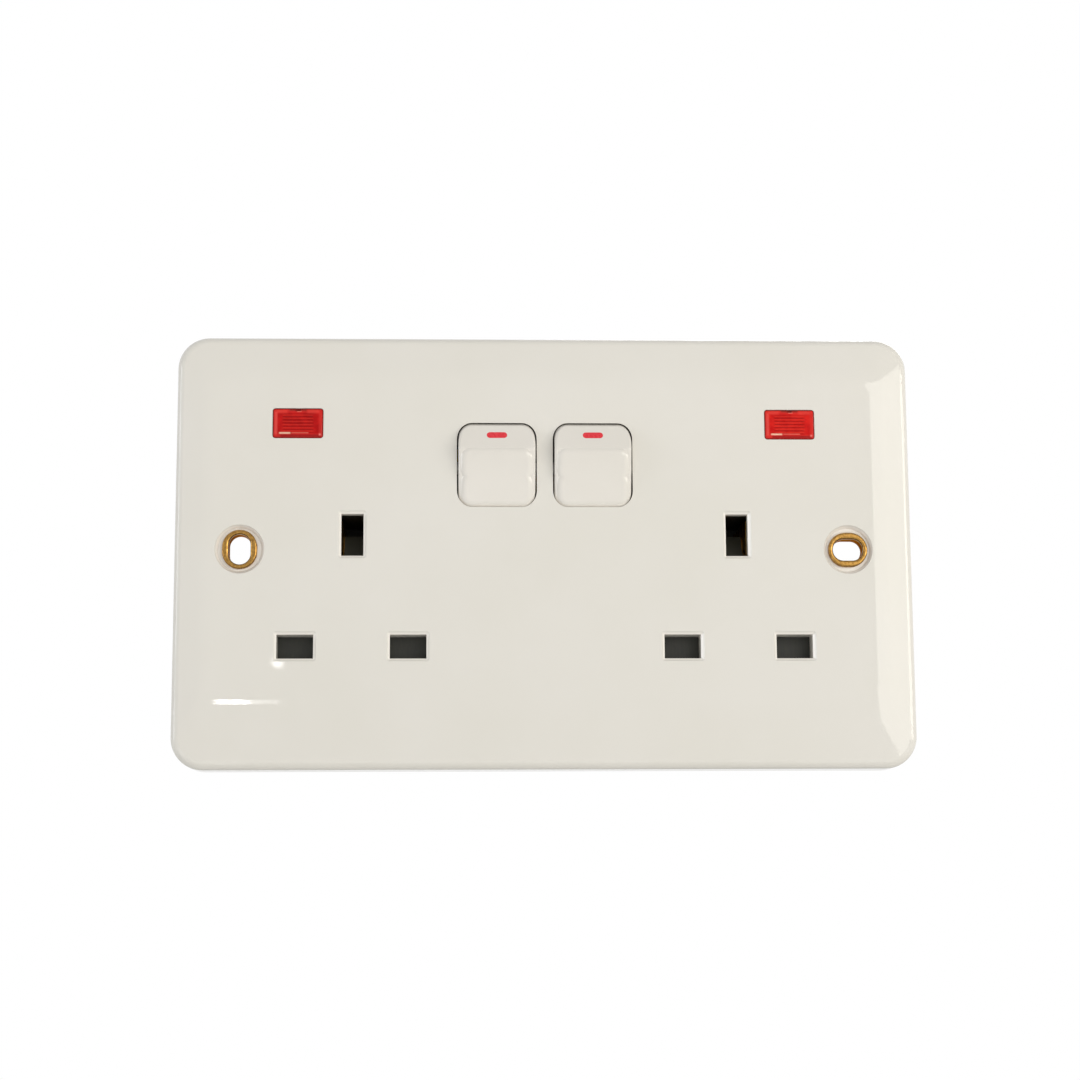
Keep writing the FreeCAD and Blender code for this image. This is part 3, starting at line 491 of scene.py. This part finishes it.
def eyelet_brass():
    """Brass strip drawn into an eyelet and tumbled bright.

    The rolled rim shines gold, with fine rings round it, and the tunnel is drawn browner and
    duller, a painted shade for the dark surroundings that it mirrors.
    """
    material, tree, place = fresh("eyelet_brass_drawn")
    rings = add(tree, "ShaderNodeMapping", {"Vector": place, "Scale": (1.0, 0.3, 1.0)})
    # Draw marks are a few hundredths of a millimetre apart; they are drawn at 0.5 mm.
    marks = add(
        tree,
        "ShaderNodeTexNoise",
        {"Vector": rings, "Scale": per_mm(0.5), "Detail": 4.0, "Roughness": 0.6},
    )
    drift = add(
        tree, "ShaderNodeMapRange", {"Value": marks, "From Min": 0.3, "From Max": 0.7}
    )
    bright = add(
        tree,
        "ShaderNodeMix",
        {0: drift, 6: linear("#B28A4A"), 7: linear("#7E5C2C")},
        out=2,
        data_type="RGBA",
    )
    # Painted shade: deeper than half a millimetre behind the face, the brass is drawn browner and
    # duller.
    depth = add(tree, "ShaderNodeSeparateXYZ", {"Vector": place}, out="Y")
    tunnel_shade = add(
        tree,
        "ShaderNodeMapRange",
        {"Value": depth, "From Min": (FACE + 0.5) * MM, "From Max": (FACE + 1.3) * MM},
        interpolation_type="SMOOTHSTEP",
    )
    colour = add(
        tree,
        "ShaderNodeMix",
        {0: tunnel_shade, 6: bright, 7: linear("#A87840")},
        out=2,
        data_type="RGBA",
    )
    shine = add(
        tree,
        "ShaderNodeMapRange",
        {"Value": marks, "From Min": 0.3, "From Max": 0.7, "To Min": 0.16, "To Max": 0.28},
    )
    dulled = add(
        tree, "ShaderNodeMath", {0: tunnel_shade, 1: 0.2, 2: shine}, operation="MULTIPLY_ADD"
    )
    # Clean metal turns white where it is looked along; deep in the eyelet it is kept brown, a
    # painted shade for the dark surroundings it mirrors.
    edge = add(
        tree,
        "ShaderNodeMix",
        {0: tunnel_shade, 6: linear("#FFFFFF"), 7: linear("#D09A50")},
        out=2,
        data_type="RGBA",
    )
    skin = add(
        tree, "ShaderNodeBump", {"Height": marks, "Distance": 0.012 * MM, "Strength": 0.4}
    )
    shader = add(
        tree,
        "ShaderNodeBsdfPrincipled",
        {
            "Base Color": colour,
            "Metallic": 1.0,
            "Specular Tint": edge,
            "Roughness": dulled,
            "Normal": skin,
        },
    )
    return finish(material, tree, shader)


def worked_metal(name, bright, deep, smooth, rough, line, along, depth):
    """A metal with fine lines from how it was worked, line mm apart and stretched along one axis.

    Used for rolled brass strip, turned brass, plated steel and drawn wire.
    The eye gets a colour that drifts between bright and deep, and streaky highlights.
    """
    material, tree, place = fresh(name)
    stretch = tuple(0.08 if axis == along else 1.0 for axis in "xyz")
    worked = add(tree, "ShaderNodeMapping", {"Vector": place, "Scale": stretch})
    # Real roll and tool marks are finer than a pixel here, so line is drawn coarser than life.
    streak = add(
        tree,
        "ShaderNodeTexNoise",
        {"Vector": worked, "Scale": per_mm(line), "Detail": 4.0, "Roughness": 0.6},
    )
    stain = add(
        tree, "ShaderNodeTexNoise", {"Vector": place, "Scale": per_mm(4.0), "Detail": 3.0}
    )
    drift = add(
        tree, "ShaderNodeMapRange", {"Value": stain, "From Min": 0.3, "From Max": 0.7}
    )
    colour = add(
        tree,
        "ShaderNodeMix",
        {0: drift, 6: linear(bright), 7: linear(deep)},
        out=2,
        data_type="RGBA",
    )
    shine = add(
        tree,
        "ShaderNodeMapRange",
        {"Value": streak, "From Min": 0.3, "From Max": 0.7, "To Min": smooth, "To Max": rough},
    )
    skin = add(
        tree, "ShaderNodeBump", {"Height": streak, "Distance": depth * MM, "Strength": 0.4}
    )
    shader = add(
        tree,
        "ShaderNodeBsdfPrincipled",
        {"Base Color": colour, "Metallic": 1.0, "Roughness": shine, "Normal": skin},
    )
    return finish(material, tree, shader)


def natural_nylon():
    """Unpigmented nylon, moulded: milky, slightly see-through at thin edges."""
    material, tree, place = fresh("plunger_nylon_natural")
    milk = add(
        tree, "ShaderNodeTexNoise", {"Vector": place, "Scale": per_mm(1.5), "Detail": 3.0}
    )
    drift = add(
        tree, "ShaderNodeMapRange", {"Value": milk, "From Min": 0.3, "From Max": 0.7}
    )
    colour = add(
        tree,
        "ShaderNodeMix",
        {0: drift, 6: linear("#E4DFCE"), 7: linear("#D9D2BC")},
        out=2,
        data_type="RGBA",
    )
    wax = add(
        tree,
        "ShaderNodeMapRange",
        {"Value": milk, "From Min": 0.3, "From Max": 0.7, "To Min": 0.3, "To Max": 0.42},
    )
    skin = add(
        tree, "ShaderNodeBump", {"Height": milk, "Distance": 0.01 * MM, "Strength": 0.4}
    )
    shader = add(
        tree,
        "ShaderNodeBsdfPrincipled",
        {
            "Base Color": colour,
            "Roughness": wax,
            "Normal": skin,
            "IOR": 1.53,
            "Subsurface Weight": 0.15,
            "Subsurface Radius": (0.0012, 0.0010, 0.0007),
            "Subsurface Scale": 1.0,
        },
    )
    return finish(material, tree, shader)


FINISH = {
    "plate_moulding": moulded_urea("plate_urea_cream", "#DFDCD5", "#DDDAD2", 0.025, 1.0),
    "rocker_moulding": moulded_urea("rocker_urea_cream", "#DEDAD3", "#DCD8D0", 0.07, 1.2),
    "housing_moulding": filled_nylon(),
    "shutter_moulding": shutter_acetal(),
    "lens_red": red_polycarbonate(),
    "flag_red": red_flag(),
    "bulb_glass": lamp_glass(),
    "resistor_body": resistor_lacquer(),
    "eyelet_brass": eyelet_brass(),
    "contact_brass": worked_metal(
        "contact_brass_rolled", "#C9A35A", "#B98F45", 0.22, 0.36, 0.4, "z", 0.004
    ),
    "screw_brass": worked_metal(
        "screw_brass_turned", "#C6A053", "#B58F42", 0.18, 0.32, 0.3, "x", 0.006
    ),
    "screw_steel": worked_metal(
        "screw_steel_zinc", "#B9BDC0", "#A8ADB3", 0.25, 0.4, 0.35, "x", 0.005
    ),
    "spring_steel": worked_metal(
        "spring_wire_drawn", "#9A9C9E", "#85878A", 0.2, 0.34, 0.25, "z", 0.003
    ),
    "plunger_nylon": natural_nylon(),
}


def dress(nodes):
    """Gives every CAD node the finish of its own material slot."""
    for piece in nodes.values():
        for place in piece.material_slots:
            place.material = FINISH[place.material.name.split(".")[0]]


dress(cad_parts)


def soft_box(name, place, aim, width, height, level, colour="#FFFFFF", shape="RECTANGLE"):
    """A studio lamp at place that faces aim, with level as the glow of its face."""
    lamp = bpy.data.lights.new(name, "AREA")
    lamp.shape = shape
    lamp.size = width
    lamp.size_y = height
    lamp.energy = level * np.pi * width * height
    lamp.color = linear(colour)[:3]
    made = bpy.data.objects.new(name, lamp)
    made.location = place
    made.rotation_mode = "QUATERNION"
    made.rotation_quaternion = (Vector(aim) - Vector(place)).to_track_quat("-Z", "Y")
    bpy.context.scene.collection.objects.link(made)
    return made


CENTRE = (0.0, 0.0, 0.0)
soft_box("window_right", (0.74, -1.06, 0.16), CENTRE, 1.0, 0.6, 2.6, "#FFFBF2")
soft_box("edge_right", (1.08, -0.60, 0.05), CENTRE, 0.42, 0.5, 4.6, "#FFF9EE")
soft_box("strip_left", (-1.25, -0.30, 0.05), CENTRE, 0.34, 0.9, 4.4, "#F6F9FF")
# Small lamps, whose mirror images are the streak and the spot at the lower left of the plate.
soft_box("glint_head", (-0.1556, -1.0, -0.024), CENTRE, 0.0195, 0.017, 34.0, shape="ELLIPSE")
soft_box("glint_tail", (-0.1400, -1.0, -0.024), CENTRE, 0.029, 0.004, 3.5, shape="ELLIPSE")
soft_box("glint_spot", (-0.1284, -1.0, 0.0912), CENTRE, 0.0060, 0.0018, 30.0, shape="ELLIPSE")
# A glowing card lies on the floor in front, so the walls that face down are lit as in a white room.
soft_box("floor_card", (0.0, -0.285, -0.124), (0.0, -0.285, 1.0), 0.8, 0.33, 0.66)
soft_box("back_light", (0.5, 1.2, 0.9), CENTRE, 0.9, 0.7, 1.6)


def seen_or_mirrored(tree):
    """1 for a ray from the camera, off gloss or through glass, and 0 for any other ray."""
    camera_ray = add(tree, "ShaderNodeLightPath", out="Is Camera Ray")
    glossy_ray = add(tree, "ShaderNodeLightPath", out="Is Glossy Ray")
    through_ray = add(tree, "ShaderNodeLightPath", out="Is Transmission Ray")
    either = add(tree, "ShaderNodeMath", {0: camera_ray, 1: glossy_ray}, operation="MAXIMUM")
    return add(tree, "ShaderNodeMath", {0: either, 1: through_ray}, operation="MAXIMUM")


def studio_world(fill):
    """An even white room: the given fill on the object, and plain white where it is looked at."""
    world = bpy.data.worlds.new("studio")
    world.use_nodes = True
    tree = world.node_tree
    tree.nodes.clear()
    level = add(
        tree,
        "ShaderNodeMapRange",
        {"Value": seen_or_mirrored(tree), "To Min": fill, "To Max": 1.0},
    )
    glow = add(tree, "ShaderNodeBackground", {"Color": linear("#FFFFFF"), "Strength": level})
    add(tree, "ShaderNodeOutputWorld", {"Surface": glow})
    bpy.context.scene.world = world


studio_world(0.5)


def floor_paper():
    """White paper that keeps the shadow near the object and runs out to plain white far off."""
    material, tree, place = fresh("floor_paper")
    fibre = add(
        tree, "ShaderNodeTexNoise", {"Vector": place, "Scale": per_mm(3.0), "Detail": 3.0}
    )
    colour = add(
        tree,
        "ShaderNodeMix",
        {0: fibre, 6: linear("#F2F2F0"), 7: linear("#F6F6F4")},
        out=2,
        data_type="RGBA",
    )
    paper = add(tree, "ShaderNodeBsdfDiffuse", {"Color": colour, "Roughness": 0.3})
    white = add(tree, "ShaderNodeEmission", {"Color": linear("#FFFFFF"), "Strength": 1.0})
    far = add(tree, "ShaderNodeVectorMath", {0: place}, out="Value", operation="LENGTH")
    reach = add(tree, "ShaderNodeMapRange", {"Value": far, "From Min": 0.22, "From Max": 0.42})
    share = add(
        tree, "ShaderNodeMath", {0: reach, 1: seen_or_mirrored(tree)}, operation="MULTIPLY"
    )
    mix = add(tree, "ShaderNodeMixShader", {0: share, 1: paper, 2: white})
    return finish(material, tree, mix)


def floor(level, reach):
    """A flat sheet: four corners at the given level, reach metres each way."""
    corner = np.array([[-1, -1, 0], [1, -1, 0], [1, 1, 0], [-1, 1, 0]], float) * reach
    mesh = bpy.data.meshes.new("floor")
    mesh.from_pydata(corner.tolist(), [], [[0, 1, 2, 3]])
    mesh.materials.append(floor_paper())
    made = bpy.data.objects.new("floor", mesh)
    made.location = (0.0, 0.0, level)
    bpy.context.scene.collection.objects.link(made)


floor(-0.13, 3.0)


def camera():
    """The photograph's view: from a little below and left of centre, with a long lens."""
    data = bpy.data.cameras.new("camera")
    data.sensor_width = 36.0
    data.lens = 76.67
    data.clip_start = 0.01
    data.clip_end = 20.0
    made = bpy.data.objects.new("camera", data)
    eye = Vector((-0.01826, -0.45723, -0.07421))
    aim = Vector((-0.00072, 0.0, 0.00328))
    roll = Quaternion((0, 0, 1), -0.0053)
    made.location = eye
    made.rotation_mode = "QUATERNION"
    made.rotation_quaternion = (aim - eye).to_track_quat("-Z", "Y") @ roll
    bpy.context.scene.collection.objects.link(made)
    bpy.context.scene.camera = made


camera()
bpy.context.scene.view_settings.view_transform = "Standard"
